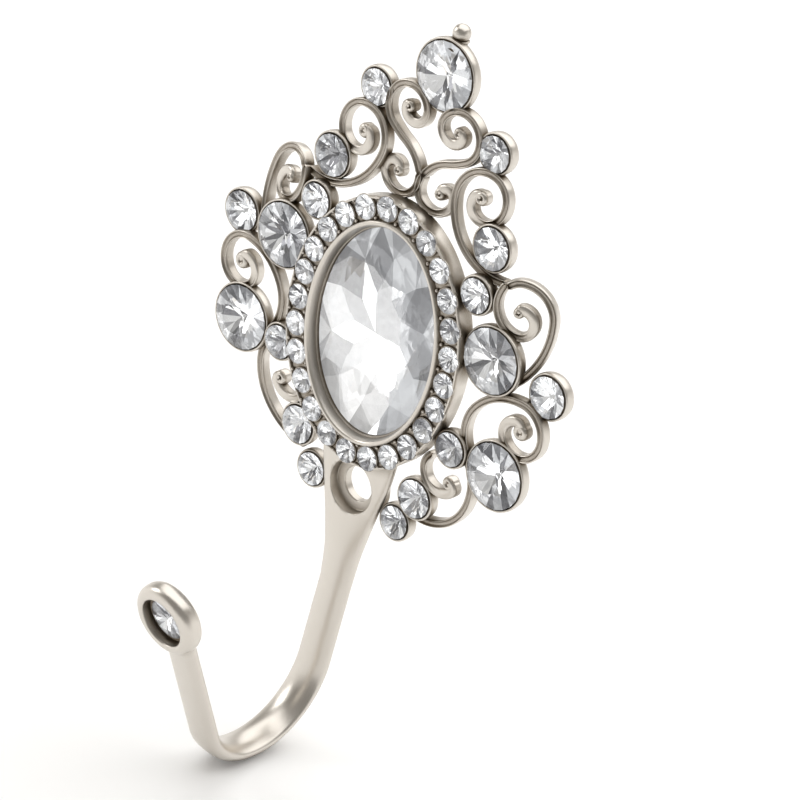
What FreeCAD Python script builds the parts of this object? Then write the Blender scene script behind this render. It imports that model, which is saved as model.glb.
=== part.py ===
# Curtain holdback: a pierced cast rosette set with cut stones, and a hook that
# curves forward from its foot. All sizes are in millimetres.
# Frame: the origin is where the axis of the screw hole meets the wall face,
# +Z is up, +X is to the right and the rosette faces -Y, away from the wall.
# "Depth" below always means the distance out from the wall, along -Y.
import FreeCAD, Part
import math
import os

V = FreeCAD.Vector
doc = FreeCAD.newDocument("holdback")

# Sizes that belong to the whole rosette, the pave ring, the oval and the hook.
SIZES = [
    # name, value, what it is
    ("ring_rise", 22.25, "height of the oval ring's centre above the screw axis"),
    ("stone_fit", 0.03, "clearance round every stone in its seat"),
    ("clear_ahead", 1.5, "clear height in front of every seat"),
    # pave ring
    ("band_half_width", 13.75, "outer half width of the pave band"),
    ("band_half_height", 17.6, "outer half height of the pave band"),
    ("band_front", 5.1, "depth of the band's face between the stones"),
    ("band_back", 2.6, "depth of the back of the band and the oval's floor"),
    ("lip_width", 0.4, "width of the thin lip round the band"),
    ("lip_front", 5.45, "depth of the lip's edge"),
    ("pave_half_width", 12.16, "half width of the ellipse the pave stones sit on"),
    ("pave_half_height", 16.31, "half height of that ellipse"),
    ("pave_count", 25, "number of pave stones"),
    ("pave_radius", 1.36, "radius of a pave stone"),
    ("pave_seat", 0.9, "depth of a pave stone's seat below the band's face"),
    ("pave_crown", 0.55, "height of a pave stone's crown"),
    ("pave_girdle", 0.1, "height of its widest line above the band's face"),
    # oval bezel and its stone
    ("bezel_half_width", 10.45, "outer half width of the oval bezel"),
    ("bezel_half_height", 14.65, "outer half height of the oval bezel"),
    ("bezel_front", 5.7, "depth of the bezel's rim"),
    ("bezel_wall", 0.8, "wall thickness of the bezel"),
    ("oval_floor", 3.4, "depth of the floor the oval stone lies on"),
    ("oval_edge", 0.55, "height of the oval stone's straight edge"),
    ("oval_rise", 2.2, "height of the oval stone's dome above its edge"),
    # cups
    ("rim", 0.5, "rim thickness of a stone cup"),
    ("cup_wall", 1.35, "straight length of a cup behind its rim"),
    ("small_seat", 1.0, "depth of a small stone's seat below the rim"),
    ("big_seat", 1.6, "depth of a big stone's seat below the rim"),
    ("small_sink", 0.15, "how far a small stone's widest line lies below the rim"),
    ("big_sink", 0.2, "how far a big stone's widest line lies below the rim"),
    ("table_share", 0.56, "table radius of a stone over its own radius"),
    ("crown_share", 0.30, "crown height of a stone over its own radius"),
    ("point_share", 0.30, "radius of a stone's flat back over its own radius"),
    # scrollwork
    ("ribbon_width", 1.05, "width of a scroll ribbon's face"),
    ("ribbon_thick", 1.4, "thickness of a scroll ribbon from front to back"),
    # bead on the top
    ("bead_z", 39.16, "height of the bead above the ring's centre"),
    ("bead_depth", 0.8, "depth of the bead's centre"),
    ("bead_radius", 1.13, "radius of the bead"),
    # neck with the screw hole
    ("screw_front", 2.78, "depth of the neck's face at the screw hole"),
    ("screw_radius", 2.25, "radius of the through hole"),
    ("head_radius", 3.45, "radius of the recess for the screw head"),
    ("head_depth", 1.5, "depth of that recess"),
    ("pad_radius", 4.3, "radius of the pad that meets the wall"),
    ("pad_height", 1.2, "height of that pad"),
    # hook
    ("strap_half", 2.45, "half width of the hook's strap"),
    ("strap_edge", 1.1, "thickness of the strap at its edges"),
    ("strap_dome", 0.8, "rise of the strap's inner face along its middle"),
    ("strap_belly", 0.35, "rise of the strap's outer face along its middle"),
    ("shank_lean", 4.5, "lean of the shank away from the wall, in angle degrees"),
    ("shank_top", -14.0, "height at which the strap takes its full shape"),
    ("shank_gap", 0.65, "depth of the strap's back edge there"),
    ("shank_length", 11.0, "length of the strap's straight shank"),
    ("bow_one_radius", 11.5, "radius of the first part of the bow"),
    ("bow_one_turn", 95.0, "angle of the first part of the bow"),
    ("bow_two_radius", 9.3, "radius of the second part of the bow"),
    ("bow_two_turn", 54.0, "angle of the second part of the bow"),
    ("arm_length", 20.9, "length of the straight arm up to the tip"),
    # cup on the hook's tip
    ("tip_y", 31.9, "depth of the tip cup's centre"),
    ("tip_z", -9.75, "height of the tip cup's centre"),
    ("tip_tilt", 17.0, "angle by which the tip cup faces down"),
    ("tip_radius", 4.75, "outer radius of the tip cup"),
    ("tip_thick", 2.9, "thickness of the tip cup"),
    ("tip_round", 1.2, "rounding of the tip cup's edges"),
    ("tip_opening", 3.2, "radius of the tip cup's opening"),
    ("tip_seat", 1.9, "depth of the tip cup's opening"),
    ("tip_stone", 2.7, "radius of the tip cup's stone"),
    ("tip_girdle", 0.75, "height of its widest line above the opening's floor"),
    ("tip_crown", 0.6, "height of its crown above that line"),
]

# One row for each kind of stone cup: name, distance from the middle, height
# above the ring's centre, depth of the rim, stone radius, back radius of the
# bowl, length of the bowl behind the straight wall, and big or small seat.
CUPS = [
    ("crest", 0.0, 33.89, 2.21, 4.11, 3.3, 0.86, "big"),
    ("brow", 9.55, 28.11, 2.2, 2.12, 1.7, 0.84, "small"),
    ("temple", 13.05, 17.61, 3.39, 2.50, 1.9, 0.9, "small"),
    ("ledge", 13.15, 11.71, 4.5, 2.02, 1.6, 0.9, "small"),
    ("wing", 25.49, 3.89, 2.95, 2.45, 1.9, 1.0, "small"),
    ("upper", 17.25, 4.91, 4.25, 3.92, 2.9, 1.3, "big"),
    ("lower", 21.40, -8.80, 3.97, 4.01, 3.0, 1.3, "big"),
    ("side", 14.47, -8.68, 4.31, 2.00, 1.6, 0.9, "small"),
    ("foot", 9.97, -18.49, 2.91, 2.30, 1.9, 0.9, "small"),
    ("heel", 7.14, -23.69, 1.94, 2.00, 1.5, 0.59, "small"),
]

# One row for each scroll of the right-hand half: the plane it lies in (middle x,
# middle z above the ring's centre, depth there, slope along x, slope along z),
# where it starts in that plane, its heading there, the arcs it is made of
# (radius and signed turn) and the button on its end (two positions, a radius).
SCROLLS = [
    ("heart", (4, 27, 2.53, -0.024, -0.018), (-4.2, -5.36), 26.0,
     [(47.6, 8.5), (3.09, 206.0), (1.84, 149.8), (1.18, 60.0)], (-0.05, 1.15, 0.72)),
    ("petal", (3, 19, 2.95, -0.03, -0.12), (-2.62, 2.07), -118.2,
     [(2.3, 87.9), (3.01, 87.5), (1.34, 62.3), (1.18, 100.0)], (0.38, 1.04, 0.8)),
    ("curl", (11, 20, 3.13, -0.043, -0.097), (5.31, -5.58), 194.8,
     [(8.34, -94.1), (4.02, -112.1), (3.06, -98.0), (2.82, -85.1), (1.74, -100.0)],
     (-1.45, 2.45, 0.95)),
    ("wing_rise", (20, 11, 3.01, -0.374, -0.140), (-3.39, 3.26), 58.4,
     [(2.56, -48.9), (4.21, -89.5), (10.48, -42.0)], None),
    ("wing_coil", (18, 11, 3.75, -0.370, -0.109), (-1.71, 2.94), -108.6,
     [(3.83, 66.7), (3.34, 39.0), (1.69, 188.5)], (0.95, 0.87, 0.6)),
    ("flank", (21, -4, 3.88, -0.035, 0.014), (-4.38, -4.04), 126.5,
     [(5.45, -72.1), (8.02, -51.5), (3.61, -103.6), (3.25, -31.6), (2.86, -100.2),
      (1.95, -118.0)], (2.37, 2.17, 1.1)),
    ("foot_rise", (15, -15, 2.68, 0.054, 0.136), (1.64, 5.52), -52.2,
     [(5.7, -37.9), (8.85, -73.0)], None),
    ("foot_coil", (12, -14, 2.9, 0.0, 0.0), (-0.99, 2.48), -127.9,
     [(40.0, 1.1), (2.22, 59.1), (2.69, 118.0)], (2.3, -0.11, 0.95)),
]

# One row for each web that ties neighbours together where they only just meet:
# distance from the middle, height above the ring's centre, depth, radius.
WEBS = [
    ("wing_web", 22.3, 4.3, 2.9, 1.1),
    ("foot_web", 12.2, -20.8, 2.2, 0.8),
]

# Cross-sections of the neck, from the ring down to the strap: height above the
# screw axis, half width, depth of the back, depth of the front edge, dome.
NECK = [
    (7.2, 6.1, 1.3, 2.85, 0.05),
    (2.6, 5.55, 1.2, 2.68, 0.12),
    (-1.6, 4.55, 0.9, 2.45, 0.38),
    (-5.8, 3.55, 0.55, 2.15, 0.66),
    (-9.8, 2.80, 0.50, 1.85, 0.80),
]


def put(sheet, row, name, value, note):
    sheet.set("A%d" % row, name)
    sheet.set("B%d" % row, str(value))
    sheet.setAlias("B%d" % row, name)
    sheet.set("C%d" % row, note)
    return row + 1


sheet = doc.addObject("Spreadsheet::Sheet", "sizes")
line = 1
for name, value, note in SIZES:
    line = put(sheet, line, name, value, note)
for name, x, z, depth, radius, back, bowl, seat in CUPS:
    line = put(sheet, line, name + "_x", x, "distance of the cup from the middle")
    line = put(sheet, line, name + "_z", z, "height above the ring's centre")
    line = put(sheet, line, name + "_depth", depth, "depth of the rim")
    line = put(sheet, line, name + "_stone", radius, "radius of the stone")
    line = put(sheet, line, name + "_back", back, "radius of the bowl's back")
    line = put(sheet, line, name + "_bowl", bowl, "length of the tapering bowl")
for name, x, z, depth, radius in WEBS:
    line = put(sheet, line, name + "_x", x, "distance of the web from the middle")
    line = put(sheet, line, name + "_z", z, "height above the ring's centre")
    line = put(sheet, line, name + "_depth", depth, "depth of its face")
    line = put(sheet, line, name + "_radius", radius, "radius of the web")
doc.recompute()


def size(name):
    return float(getattr(sheet, name))


# Turns a shape drawn in the XY plane so that it faces out from the wall.
OUTWARD = FreeCAD.Rotation(V(1, 0, 0), 90)


def bound(kind, name, values, x, depth, z):
    """A Part object whose values and position are expressions on the sheet."""
    obj = doc.addObject(kind, name)
    obj.Placement = FreeCAD.Placement(V(0, 0, 0), OUTWARD)
    for key, text in values.items():
        obj.setExpression(key, text)
    obj.setExpression("Placement.Base.x", x)
    obj.setExpression("Placement.Base.y", "-(%s)" % depth)
    obj.setExpression("Placement.Base.z", z)
    return obj


def disc(name, radius, height, x, depth, z):
    """A round disc whose front face lies at the given depth."""
    values = {"Radius": radius, "Height": height}
    return bound("Part::Cylinder", name, values, x, "%s - (%s)" % (depth, height), z)


def oval(name, half_width, half_height, front, back):
    """An elliptical slab round the ring's centre, from one depth to another."""
    tall = bound("Part::Ellipse", name + "_line",
                 {"MajorRadius": half_height, "MinorRadius": half_width},
                 "0", back, "sizes.ring_rise")
    tall.Placement = FreeCAD.Placement(V(0, 0, 0), OUTWARD * FreeCAD.Rotation(V(0, 0, 1), 90))
    slab = doc.addObject("Part::Extrusion", name)
    slab.Base = tall
    slab.DirMode = "Custom"
    slab.Dir = V(0, -1, 0)
    slab.Solid = True
    slab.setExpression("LengthFwd", "(%s) - (%s)" % (front, back))
    return slab


def facet_solid(rings):
    """A closed solid of flat facets through rings of points, back to front."""
    faces = []
    for low, high in zip(rings[:-1], rings[1:]):
        count = len(low)
        for k in range(count):
            near = (k + 1) % count
            faces.append([low[k], low[near], high[k]])
            faces.append([low[near], high[near], high[k]])
    shell = [Part.Face(Part.makePolygon(three + three[:1])) for three in faces]
    shell.append(Part.Face(Part.makePolygon(rings[0] + rings[0][:1])))
    shell.append(Part.Face(Part.makePolygon(rings[-1] + rings[-1][:1])))
    return Part.Solid(Part.makeShell(shell))


def stone_ring(reach_x, reach_z, level, count, shift):
    """Points evenly round an ellipse; a shift of one half turns by half a facet."""
    points = []
    for k in range(count):
        angle = 2 * math.pi * (k + shift) / count
        points.append(V(reach_x * math.cos(angle), reach_z * math.sin(angle), level))
    return points


def cut_stone(label, sides, radius, point, girdle, table, place):
    """A round stone: flat back, widest line and table, joined by flat facets."""
    reach_back = size("point_share") * radius
    reach_table = size("table_share") * radius
    stone = doc.addObject("Part::Feature", label)
    stone.Shape = facet_solid([stone_ring(reach_back, reach_back, point, sides, 0.0),
                               stone_ring(radius, radius, girdle, sides, 0.5),
                               stone_ring(reach_table, reach_table, table, sides, 1.0)])
    stone.Placement = place
    stone.Label = label
    return stone


def outward(x, depth, z):
    """A place on the right-facing front: local Z points away from the wall."""
    return FreeCAD.Placement(V(x, -depth, z), OUTWARD)


# Metal and hollows on the middle, and those of the right half, which are later
# mirrored to the left. Stones are separate pieces, so they go into the parts.
metal = []
right_metal = []
right_scrolls = []
hollows = []
pave_hollows = []
right_hollows = []
parts = []

# Stone cups: a straight rim, a bowl that tapers towards the wall, a seat cut
# into the rim and a stone in the seat. Every kind but the crest is a pair.
for name, cup_x, cup_z, cup_depth, radius, back, bowl, seat in CUPS:
    sides = [("", 1)] if cup_x == 0 else [("_right", 1), ("_left", -1)]
    facets = 12 if seat == "big" else 10
    key = "sizes." + name
    z = "sizes.ring_rise + %s_z" % key
    depth = key + "_depth"
    rim = "%s_stone + sizes.stone_fit + sizes.rim" % key
    solids = metal if cup_x == 0 else right_metal
    voids = hollows if cup_x == 0 else right_hollows
    x = key + "_x"
    solids.append(disc(name + "_cup", rim, "sizes.cup_wall", x, depth, z))
    solids.append(bound("Part::Cone", name + "_bowl",
                        {"Radius1": key + "_back", "Radius2": rim, "Height": key + "_bowl"},
                        x, "%s - sizes.cup_wall - %s_bowl" % (depth, key), z))
    voids.append(disc(name + "_seat", "%s_stone + sizes.stone_fit" % key,
                      "sizes.%s_seat + sizes.clear_ahead" % seat, x,
                      depth + " + sizes.clear_ahead", z))
    stone = size(name + "_stone")
    sunk = -size(seat + "_sink")
    for tail, sign in sides:
        place = outward(sign * size(name + "_x"), size(name + "_depth"),
                        size("ring_rise") + size(name + "_z"))
        parts.append(cut_stone("stone_" + name + tail, facets, stone, -size(seat + "_seat"),
                               sunk, sunk + size("crown_share") * stone, place))

# Pave ring: a raised band with a thin lip, and a seat for each small stone. The
# stones are evenly spaced along the ellipse, with a gap on the middle at the top.
band = oval("band", "sizes.band_half_width", "sizes.band_half_height",
            "sizes.lip_front", "sizes.band_back")
band_hollow = oval("band_hollow", "sizes.band_half_width - sizes.lip_width",
                   "sizes.band_half_height - sizes.lip_width",
                   "sizes.lip_front + 1", "sizes.band_front")
bezel = oval("bezel", "sizes.bezel_half_width", "sizes.bezel_half_height",
             "sizes.bezel_front", "sizes.band_back")
bezel_hollow = oval("bezel_hollow", "sizes.bezel_half_width - sizes.bezel_wall",
                    "sizes.bezel_half_height - sizes.bezel_wall",
                    "sizes.bezel_front + 1", "sizes.oval_floor")
dished = doc.addObject("Part::Cut", "dished_band")
dished.Base = band
dished.Tool = band_hollow
metal.append(dished)
metal.append(bezel)
hollows.append(bezel_hollow)

for k in range(int(size("pave_count"))):
    turn = "(90 + %.1f * 360 / sizes.pave_count)" % (k + 0.5)
    flat = ("(sizes.pave_half_height^2 - sizes.pave_half_width^2)"
            " / (sizes.pave_half_height^2 + sizes.pave_half_width^2)")
    angle = "(%s - 45 / pi * %s * sin(2 * %s))" % (turn, flat, turn)
    x = "sizes.pave_half_width * cos%s" % angle
    z = "sizes.ring_rise + sizes.pave_half_height * sin%s" % angle
    pave_hollows.append(disc("pave_seat_%02d" % (k + 1),
                             "sizes.pave_radius + sizes.stone_fit",
                             "sizes.pave_seat + sizes.clear_ahead", x,
                             "sizes.band_front + sizes.clear_ahead", z))
    seat = doc.getObject("pave_seat_%02d" % (k + 1))
    doc.recompute([seat])
    centre = seat.Placement.Base
    place = outward(centre.x, size("band_front"), centre.z)
    parts.append(cut_stone("stone_pave_%02d" % (k + 1), 8, size("pave_radius"),
                           -size("pave_seat"), size("pave_girdle"),
                           size("pave_girdle") + size("pave_crown"), place))


# Oval stone: a straight edge, two bands of triangular facets and a flat table.
oval_x = size("bezel_half_width") - size("bezel_wall") - size("stone_fit")
oval_z = size("bezel_half_height") - size("bezel_wall") - size("stone_fit")
oval_rings = []
for share, level, shift in ((1.0, 0.0, 0.0), (1.0, size("oval_edge"), 0.0),
                            (0.78, size("oval_edge") + 0.55 * size("oval_rise"), 0.5),
                            (0.45, size("oval_edge") + size("oval_rise"), 1.0)):
    oval_rings.append(stone_ring(share * oval_x, share * oval_z, level, 16, shift))
oval_stone = doc.addObject("Part::Feature", "stone_oval")
oval_stone.Shape = facet_solid(oval_rings)
oval_stone.Placement = outward(0, size("oval_floor"), size("ring_rise"))
oval_stone.Label = "stone_oval"
parts.append(oval_stone)


def arc_edge(centre, radius, from_angle, turn):
    """An arc in the XY plane through three of its points."""
    points = []
    for share in (0.0, 0.5, 1.0):
        angle = math.radians(from_angle + share * turn)
        points.append(centre + V(radius * math.cos(angle), radius * math.sin(angle), 0))
    return Part.Arc(*points).toShape()


def ribbon_face(start, heading, arcs, button):
    """A flat ribbon that follows a chain of tangent arcs, with a round end."""
    half = size("ribbon_width") / 2
    point = V(start[0], start[1], 0)
    faces = []
    for radius, turn in arcs:
        side = 1 if turn > 0 else -1
        across = math.radians(heading + 90 * side)
        centre = point + V(radius * math.cos(across), radius * math.sin(across), 0)
        from_angle = heading - 90 * side
        outer = arc_edge(centre, radius + half, from_angle, turn)
        inner = arc_edge(centre, radius - half, from_angle, turn)
        ends = [Part.makeLine(outer.firstVertex().Point, inner.firstVertex().Point),
                Part.makeLine(outer.lastVertex().Point, inner.lastVertex().Point)]
        sector = Part.Face(Part.Wire(Part.__sortEdges__([outer, ends[1], inner, ends[0]])))
        if sector.normalAt(0, 0).z < 0:
            sector.reverse()
        faces.append(sector)
        heading = heading + turn
        out = math.radians(from_angle + turn)
        point = centre + V(radius * math.cos(out), radius * math.sin(out), 0)
    if button:
        ring = Part.makeCircle(button[2], V(button[0], button[1], 0))
        faces.append(Part.Face(Part.Wire(ring)))
    else:
        ring = Part.makeCircle(half, point)
        faces.append(Part.Face(Part.Wire(ring)))
    return faces[0].multiFuse(faces[1:]).removeSplitter()


# Scrollwork: each scroll is cut from a plate that has its own slope.
for name, plane, start, heading, arcs, button in SCROLLS:
    across, up, depth, slope_x, slope_z = plane
    flat = ribbon_face(start, heading, arcs, button)
    thick = flat.Faces[0].extrude(V(0, 0, -size("ribbon_thick")))
    front = V(-slope_x, -1, -slope_z)
    turned = FreeCAD.Rotation(V(0, -1, 0), front) * OUTWARD
    thick.Placement = FreeCAD.Placement(V(across, -depth, size("ring_rise") + up), turned)
    scroll = doc.addObject("Part::Feature", "scroll_" + name)
    scroll.Shape = thick
    right_scrolls.append(scroll)

for name, web_x, web_z, web_depth, radius in WEBS:
    right_metal.append(disc(name, "sizes.%s_radius" % name, "sizes.ribbon_thick",
                            "sizes.%s_x" % name, "sizes.%s_depth" % name,
                            "sizes.ring_rise + sizes.%s_z" % name))

# Bead on the very top.
metal.append(bound("Part::Sphere", "bead", {"Radius": "sizes.bead_radius"}, "0",
                   "sizes.bead_depth", "sizes.ring_rise + sizes.bead_z"))


def strap_wire(half, back, edge_front, dome, belly):
    """The strap's outline: a flat-edged lens, drawn with depth along Y."""
    corners = [V(-half, back, 0), V(half, back, 0), V(half, edge_front, 0), V(-half, edge_front, 0)]
    lower = Part.Arc(corners[0], V(0, back - belly, 0), corners[1]).toShape()
    upper = Part.Arc(corners[2], V(0, edge_front + dome, 0), corners[3]).toShape()
    sides = [Part.makeLine(corners[1], corners[2]), Part.makeLine(corners[3], corners[0])]
    return Part.Wire([lower, sides[0], upper, sides[1]])


def shank_wire():
    """The strap's outline where the straight shank begins."""
    outline = strap_wire(size("strap_half"), 0, size("strap_edge"), size("strap_dome"),
                         size("strap_belly"))
    lean = FreeCAD.Rotation(V(1, 0, 0), 180 - size("shank_lean"))
    outline.Placement = FreeCAD.Placement(V(0, -size("shank_gap"), size("shank_top")), lean)
    return outline


# Neck: a plate with the screw hole that narrows down to the strap.
neck_wires = []
for height, half, back, edge_front, dome in NECK:
    outline = strap_wire(half, back, edge_front, dome, 0.02)
    outline.Placement = FreeCAD.Placement(V(0, 0, height), FreeCAD.Rotation(V(1, 0, 0), 180))
    neck_wires.append(outline)
neck_wires.append(shank_wire())
neck = doc.addObject("Part::Feature", "neck")
neck.Shape = Part.makeLoft(neck_wires, True, False)
metal.append(neck)

# Hook: the strap runs straight down, round a bow of two radii and up the arm.
lean = math.radians(size("shank_lean"))
point = V(0, -size("shank_gap"), size("shank_top"))
heading = lean
spine = []
steps = [("line", size("shank_length"), 0.0),
         ("arc", size("bow_one_radius"), size("bow_one_turn")),
         ("arc", size("bow_two_radius"), size("bow_two_turn")),
         ("line", size("arm_length"), 0.0)]
for kind, reach, turn in steps:
    forward = V(0, -math.sin(heading), -math.cos(heading))
    inward = V(0, -math.cos(heading), math.sin(heading))
    if kind == "line":
        target = point + forward * reach
        spine.append(Part.makeLine(point, target))
    else:
        centre = point + inward * reach
        marks = []
        for share in (0.5, 1.0):
            angle = math.radians(turn) * share
            marks.append(centre - inward * (reach * math.cos(angle))
                         + forward * (reach * math.sin(angle)))
        target = marks[1]
        spine.append(Part.Arc(point, marks[0], target).toShape())
        heading = heading + math.radians(turn)
    point = target
strap = doc.addObject("Part::Feature", "strap")
strap.Shape = Part.Wire(spine).makePipeShell([shank_wire()], True, False)
metal.append(strap)

# Cup on the hook's tip: a thick round-edged disc that faces forward and down.
tip_turn = FreeCAD.Rotation(V(1, 0, 0), 90 + size("tip_tilt"))
tip_front = tip_turn.multVec(V(0, 0, 1))
tip_centre = V(0, -size("tip_y"), size("tip_z"))
blank = Part.makeCylinder(size("tip_radius"), size("tip_thick"),
                          V(0, 0, -size("tip_thick") / 2))
round_edges = [e for e in blank.Edges if isinstance(e.Curve, Part.Circle)]
blank = blank.makeFillet(size("tip_round"), round_edges).Solids[0]
blank.Placement = FreeCAD.Placement(tip_centre, tip_turn)
tip = doc.addObject("Part::Feature", "tip_cup")
tip.Shape = blank
metal.append(tip)
floor_level = size("tip_thick") / 2 - size("tip_seat")
tip_seat = doc.addObject("Part::Feature", "tip_seat_hollow")
tip_seat.Shape = Part.makeCylinder(size("tip_opening"), size("tip_seat") + 1)
tip_seat.Placement = FreeCAD.Placement(tip_centre + tip_front * floor_level, tip_turn)
hollows.append(tip_seat)

# Pad behind the screw hole, the hole itself and the recess for the screw head.
metal.append(disc("pad", "sizes.pad_radius", "sizes.pad_height", "0", "sizes.pad_height", "0"))
hollows.append(bound("Part::Cylinder", "screw_hole",
                     {"Radius": "sizes.screw_radius", "Height": "sizes.screw_front + 2"},
                     "0", "-1", "0"))
hollows.append(bound("Part::Cylinder", "head_recess",
                     {"Radius": "sizes.head_radius", "Height": "sizes.head_depth + 2"},
                     "0", "sizes.screw_front - sizes.head_depth", "0"))

# Nothing reaches behind the wall face.
wall = doc.addObject("Part::Box", "wall_side")
wall.Length = 80
wall.Width = 10
wall.Height = 120
wall.Placement = FreeCAD.Placement(V(-40, 0, -50), FreeCAD.Rotation())
hollows.append(wall)



def joined(name, shapes):
    group = doc.addObject("Part::MultiFuse", name)
    group.Shapes = shapes
    return group


def mirrored(name, source):
    """The same shape on the other side of the middle plane."""
    copy = doc.addObject("Part::Mirroring", name)
    copy.Source = source
    copy.Base = V(0, 0, 0)
    copy.Normal = V(1, 0, 0)
    return copy


right_wing = joined("right_wing", [joined("right_cups", right_metal),
                                   joined("right_scrolls", right_scrolls)])
left_wing = mirrored("left_wing", right_wing)
right_half = joined("middle_and_right", [joined("middle", metal), right_wing])
solid_metal = joined("solid_metal", [right_half, left_wing])
right_seats = joined("right_seats", right_hollows)
left_seats = mirrored("left_seats", right_seats)
pave_seats = joined("pave_seats", pave_hollows)
doc.recompute()

# The casting: the joined metal with every seat and hole cut out of it in turn.
casting = solid_metal.Shape.Solids[0]
for tool in [right_seats, left_seats, pave_seats] + hollows:
    for solid in tool.Shape.Solids:
        casting = casting.cut(solid)
cast_body = doc.addObject("Part::Feature", "cast_body")
cast_body.Shape = casting.Solids[0]
cast_body.Label = "cast_body"
parts.insert(0, cast_body)

# Stone in the tip cup, lying on the floor of its opening.
place = FreeCAD.Placement(tip_centre + tip_front * floor_level, tip_turn)
parts.append(cut_stone("stone_tip", 12, size("tip_stone"), 0.0, size("tip_girdle"),
                       size("tip_girdle") + size("tip_crown"), place))

doc.recompute()

for obj in doc.Objects:
    if "Invalid" in obj.State or "Error" in obj.State:
        raise RuntimeError("%s did not rebuild: %s" % (obj.Label, obj.State))
for obj in parts:
    if obj.Shape.isNull() or not obj.Shape.isValid():
        raise RuntimeError("%s has no valid shape" % obj.Label)
    if len(obj.Shape.Solids) != 1:
        raise RuntimeError("%s has %d solids" % (obj.Label, len(obj.Shape.Solids)))

os.makedirs("parts", exist_ok=True)
for obj in parts:
    obj.Shape.exportStep("parts/%s.step" % obj.Label)
print("wrote", len(parts), "parts; casting volume %.0f mm3" % cast_body.Shape.Volume)
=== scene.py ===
# %% [markdown]
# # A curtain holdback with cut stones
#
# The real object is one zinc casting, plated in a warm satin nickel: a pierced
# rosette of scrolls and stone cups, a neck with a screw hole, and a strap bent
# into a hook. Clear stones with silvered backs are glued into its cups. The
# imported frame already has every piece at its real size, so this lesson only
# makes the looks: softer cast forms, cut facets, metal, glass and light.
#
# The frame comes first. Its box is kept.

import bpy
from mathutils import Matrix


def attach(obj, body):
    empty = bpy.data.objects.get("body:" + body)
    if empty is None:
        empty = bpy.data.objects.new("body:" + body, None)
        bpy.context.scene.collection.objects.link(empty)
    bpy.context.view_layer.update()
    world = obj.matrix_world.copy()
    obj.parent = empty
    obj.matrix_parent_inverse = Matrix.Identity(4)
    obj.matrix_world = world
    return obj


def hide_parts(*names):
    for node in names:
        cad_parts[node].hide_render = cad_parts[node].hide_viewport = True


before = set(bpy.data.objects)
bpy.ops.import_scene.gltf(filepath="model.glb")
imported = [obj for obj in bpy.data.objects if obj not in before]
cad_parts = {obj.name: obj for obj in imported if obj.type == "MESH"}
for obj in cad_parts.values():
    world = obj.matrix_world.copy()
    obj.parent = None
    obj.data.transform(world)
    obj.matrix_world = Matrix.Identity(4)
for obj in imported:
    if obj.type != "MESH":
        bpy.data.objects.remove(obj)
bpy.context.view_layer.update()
print("frame nodes:", len(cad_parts))

# %% [markdown]
# Everything below is worked out in millimetres, as a maker's drawing would be,
# and turned into metres only when a mesh is made. "Depth" is the distance out
# from the wall, along -Y, and "height" is along Z. The origin is where the axis
# of the screw hole meets the wall.

# %% Units and the places that the frame already knows
import math

import bpy
import numpy as np
from mathutils import Matrix, Vector

MM = 0.001
RING_RISE = 22.25          # height of the oval ring's centre above the screw axis


def node_points(node):
    """All corners of a node's mesh in millimetres, one row for each corner."""
    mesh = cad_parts[node].data
    flat = np.empty(len(mesh.vertices) * 3)
    mesh.vertices.foreach_get("co", flat)
    return flat.reshape(-1, 3) / MM


def stone_place(node):
    """Middle x and z, depth and radius of a stone's widest line.

    The middle is the middle of the stone's box. A corner's reach is the root of
    the squared distances along x and z, and the widest line is where it is largest.
    """
    points = node_points(node)
    low = points.min(axis=0)
    high = points.max(axis=0)
    middle = (low + high) / 2
    reach = np.hypot(points[:, 0] - middle[0], points[:, 2] - middle[2])
    widest = points[reach > reach.max() - 0.02]
    return middle[0], middle[2], -widest[:, 1].mean(), reach.max()


print("crest stone:", np.round(stone_place("stone_crest"), 2))

# %% [markdown]
# A closed skin over rows of points is the one mesh tool this object needs. A
# ribbon, a cup, a ring and a hook are all rows of points that go round, set one
# behind the other, and a pole closes an open end with a fan. Blender's own
# primitives would need booleans and sculpting to get there, while a grid is
# exact and cheap. The sign of the enclosed volume tells whether the faces look
# outwards, and turns them if not.

# %% Skins over rows of points
def enclosed_volume(points, faces):
    """Signed volume: a sixth of the triple product of every triangle's corners."""
    total = 0.0
    for group in faces:
        for k in range(1, group.shape[1] - 1):
            first = points[group[:, 0]]
            second = points[group[:, k]]
            third = points[group[:, k + 1]]
            total += np.einsum("ij,ij->i", first, np.cross(second, third)).sum() / 6
    return total


def skin(rows, poles=(None, None), closed=False):
    """A closed skin over rows of points, given as an array of rows, points and axes.

    Point j of row i meets point j + 1 and the same two points of row i + 1. A
    pole at either end is joined to its row by triangles. A closed skin joins
    the last row to the first instead.
    """
    rows = np.asarray(rows, dtype=float)
    count, around = rows.shape[:2]
    points = rows.reshape(-1, 3)
    index = np.arange(count * around).reshape(count, around)
    if closed:
        index = np.vstack([index, index[:1]])
    near = np.roll(index, -1, axis=1)
    quads = np.stack([index[:-1], near[:-1], near[1:], index[1:]], axis=-1).reshape(-1, 4)
    faces = [quads]
    for pole, row, turn in ((poles[0], 0, -1), (poles[1], -1, 1)):
        if pole is None:
            continue
        tip = np.full(around, len(points))
        points = np.vstack([points, pole])
        fan = np.stack([index[row], near[row], tip], axis=-1)
        faces.append(fan[:, ::turn])
    if enclosed_volume(points, faces) < 0:
        faces = [group[:, ::-1] for group in faces]
    return points, faces


def mirror(shell):
    """The same skin on the other side of the middle plane, still facing outwards."""
    points, faces = shell
    return points * (-1, 1, 1), [group[:, ::-1] for group in faces]


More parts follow.
